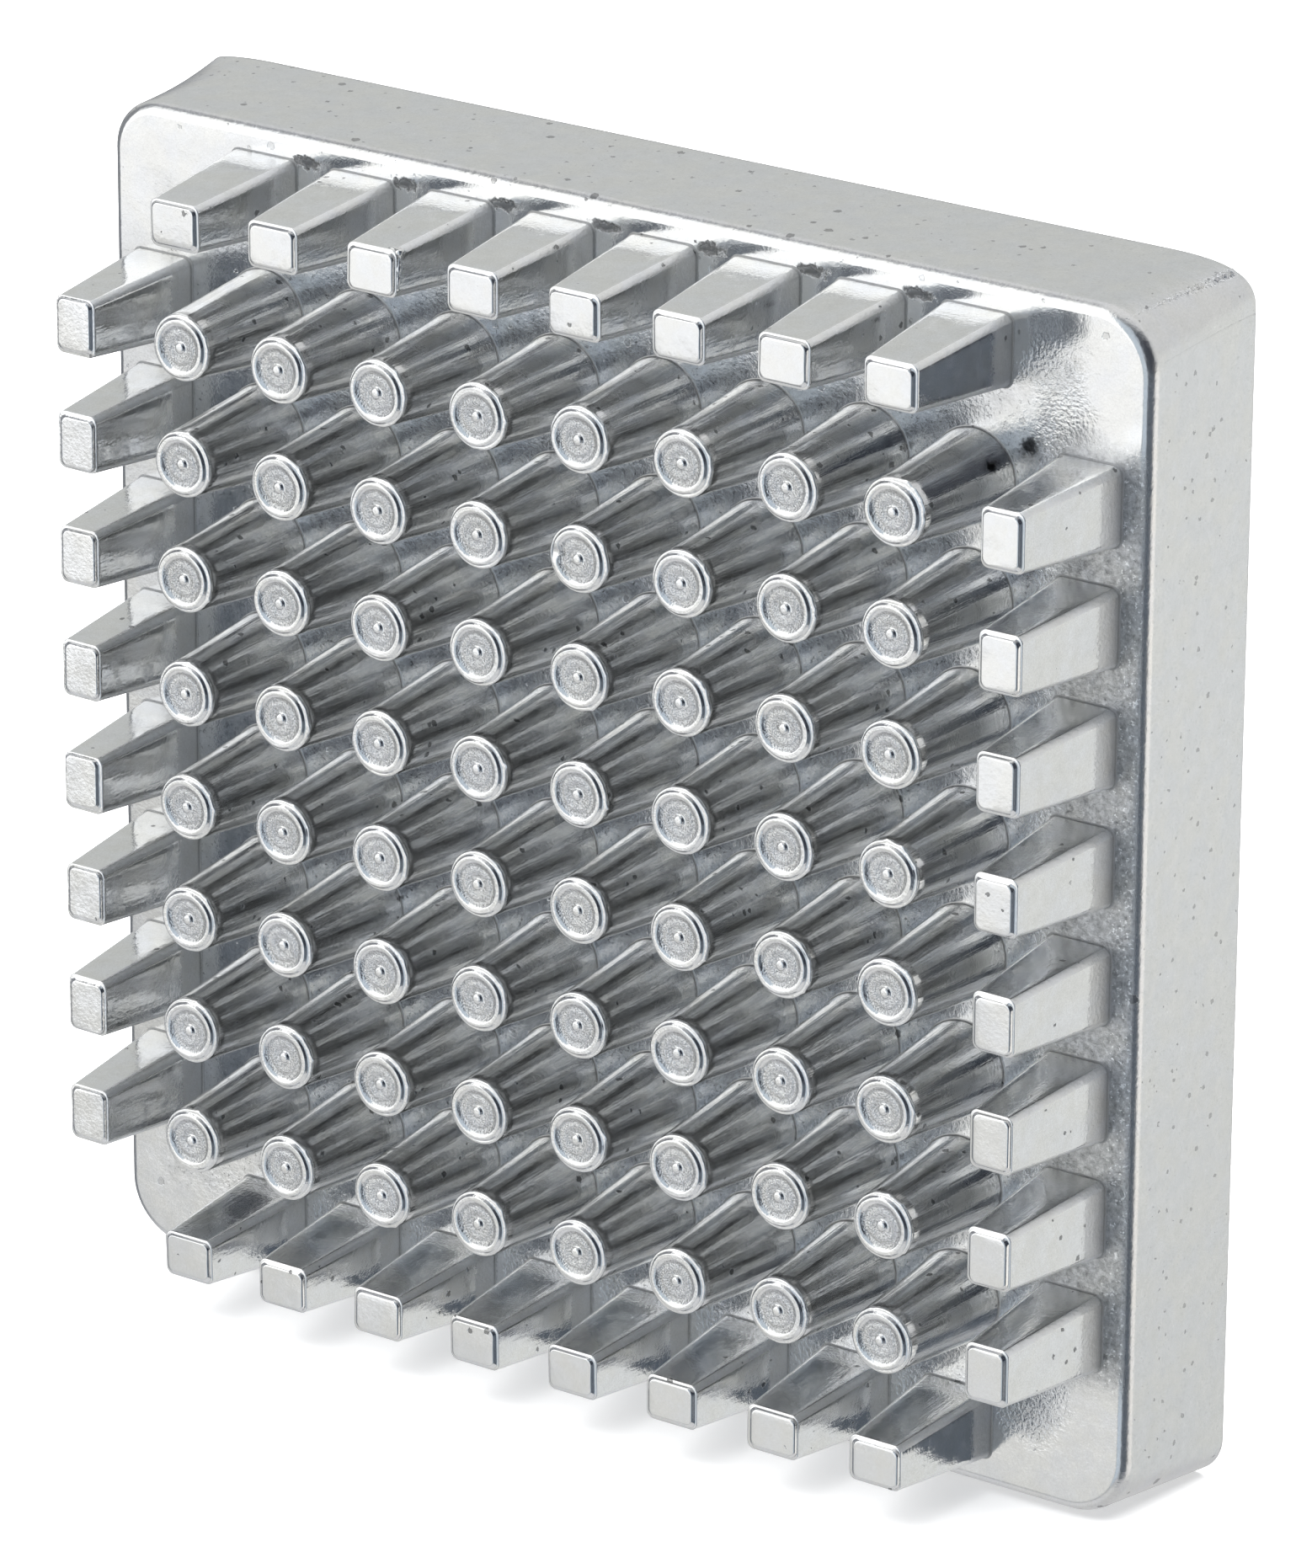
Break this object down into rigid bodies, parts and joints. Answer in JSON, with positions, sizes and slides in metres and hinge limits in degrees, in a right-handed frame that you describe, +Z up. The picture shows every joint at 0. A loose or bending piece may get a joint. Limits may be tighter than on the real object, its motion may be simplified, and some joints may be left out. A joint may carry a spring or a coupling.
{
  "type": "vegetable cutter push block",
  "caption": "Square die-cast aluminium push block with a field of dished round pins, a border of tapered square pins and a hollow, ribbed back with tapped bosses.",
  "frame": {"origin": "centre of the screw-hole pattern, in the plane of the machined back face", "axes": "+Z up, +X to the right seen from the pins' side, +Y out of the back face; the pins point along -Y"},
  "size_m": [0.099, 0.0249, 0.099],
  "materials": {
    "cast_aluminium": "bright as-cast, with fine pits and burrs; back face machined"
  },
  "bodies": {
    "root": {"face_plate": "cast_aluminium", "wall_top": "cast_aluminium", "wall_bottom": "cast_aluminium", "wall_left": "cast_aluminium", "wall_right": "cast_aluminium", "rib_top": "cast_aluminium", "rib_bottom": "cast_aluminium", "rib_left": "cast_aluminium", "rib_right": "cast_aluminium", "boss_top_left": "cast_aluminium", "boss_top_right": "cast_aluminium", "boss_bottom_left": "cast_aluminium", "boss_bottom_right": "cast_aluminium", "square_pins_top": "cast_aluminium", "square_pins_bottom": "cast_aluminium", "square_pins_left": "cast_aluminium", "square_pins_right": "cast_aluminium", "round_pins_row_1": "cast_aluminium", "round_pins_row_2": "cast_aluminium", "round_pins_row_3": "cast_aluminium", "round_pins_row_4": "cast_aluminium", "round_pins_row_5": "cast_aluminium", "round_pins_row_6": "cast_aluminium", "round_pins_row_7": "cast_aluminium", "round_pins_row_8": "cast_aluminium"}
  },
  "joints": []
}
